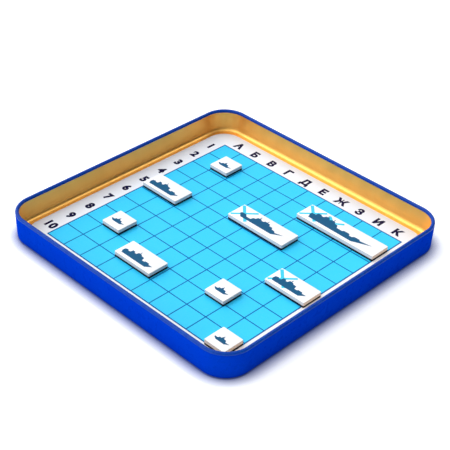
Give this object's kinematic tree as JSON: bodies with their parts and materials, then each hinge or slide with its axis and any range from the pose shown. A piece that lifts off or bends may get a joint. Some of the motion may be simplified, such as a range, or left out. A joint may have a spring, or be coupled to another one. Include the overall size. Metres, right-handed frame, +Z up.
{
  "type": "travel sea battle game tray",
  "caption": "Open square tin tray with a printed lettered and numbered grid board and loose magnetic ship tiles that lift off the grid.",
  "frame": {"origin": "centre of the plane that the tray's foot ring stands on", "axes": "+Z up out of the open tray; +X along the row of letters; +Y towards the wall beside the letters"},
  "size_m": [0.1992, 0.1992, 0.0195],
  "materials": {
    "lacquered_tin": "gloss",
    "printed_board": "satin",
    "magnet_sheet": "matte",
    "tile_core": "matte",
    "tile_face": "satin"
  },
  "bodies": {
    "tray": {"tin_tray": "lacquered_tin", "board_sheet": "printed_board"},
    "boat_tile_a": {"boat_tile_a_magnet": "magnet_sheet", "boat_tile_a_core": "tile_core", "boat_tile_a_face": "tile_face"},
    "boat_tile_b": {"boat_tile_b_magnet": "magnet_sheet", "boat_tile_b_core": "tile_core", "boat_tile_b_face": "tile_face"},
    "boat_tile_c": {"boat_tile_c_magnet": "magnet_sheet", "boat_tile_c_core": "tile_core", "boat_tile_c_face": "tile_face"},
    "boat_tile_d": {"boat_tile_d_magnet": "magnet_sheet", "boat_tile_d_core": "tile_core", "boat_tile_d_face": "tile_face"},
    "destroyer_tile_a": {"destroyer_tile_a_magnet": "magnet_sheet", "destroyer_tile_a_core": "tile_core", "destroyer_tile_a_face": "tile_face"},
    "destroyer_tile_b": {"destroyer_tile_b_magnet": "magnet_sheet", "destroyer_tile_b_core": "tile_core", "destroyer_tile_b_face": "tile_face"},
    "destroyer_tile_c": {"destroyer_tile_c_magnet": "magnet_sheet", "destroyer_tile_c_core": "tile_core", "destroyer_tile_c_face": "tile_face"},
    "cruiser_tile": {"cruiser_tile_magnet": "magnet_sheet", "cruiser_tile_core": "tile_core", "cruiser_tile_face": "tile_face"},
    "battleship_tile": {"battleship_tile_magnet": "magnet_sheet", "battleship_tile_core": "tile_core", "battleship_tile_face": "tile_face"}
  },
  "joints": [
    {"name": "boat_tile_a_lift", "type": "slide", "parent": "tray", "child": "boat_tile_a", "axis": [0, 0, 1], "range_m": [0, 0.04]},
    {"name": "boat_tile_b_lift", "type": "slide", "parent": "tray", "child": "boat_tile_b", "axis": [0, 0, 1], "range_m": [0, 0.04]},
    {"name": "boat_tile_c_lift", "type": "slide", "parent": "tray", "child": "boat_tile_c", "axis": [0, 0, 1], "range_m": [0, 0.04]},
    {"name": "boat_tile_d_lift", "type": "slide", "parent": "tray", "child": "boat_tile_d", "axis": [0, 0, 1], "range_m": [0, 0.04]},
    {"name": "destroyer_tile_a_lift", "type": "slide", "parent": "tray", "child": "destroyer_tile_a", "axis": [0, 0, 1], "range_m": [0, 0.04]},
    {"name": "destroyer_tile_b_lift", "type": "slide", "parent": "tray", "child": "destroyer_tile_b", "axis": [0, 0, 1], "range_m": [0, 0.04]},
    {"name": "destroyer_tile_c_lift", "type": "slide", "parent": "tray", "child": "destroyer_tile_c", "axis": [0, 0, 1], "range_m": [0, 0.04]},
    {"name": "cruiser_tile_lift", "type": "slide", "parent": "tray", "child": "cruiser_tile", "axis": [0, 0, 1], "range_m": [0, 0.04]},
    {"name": "battleship_tile_lift", "type": "slide", "parent": "tray", "child": "battleship_tile", "axis": [0, 0, 1], "range_m": [0, 0.04]}
  ]
}
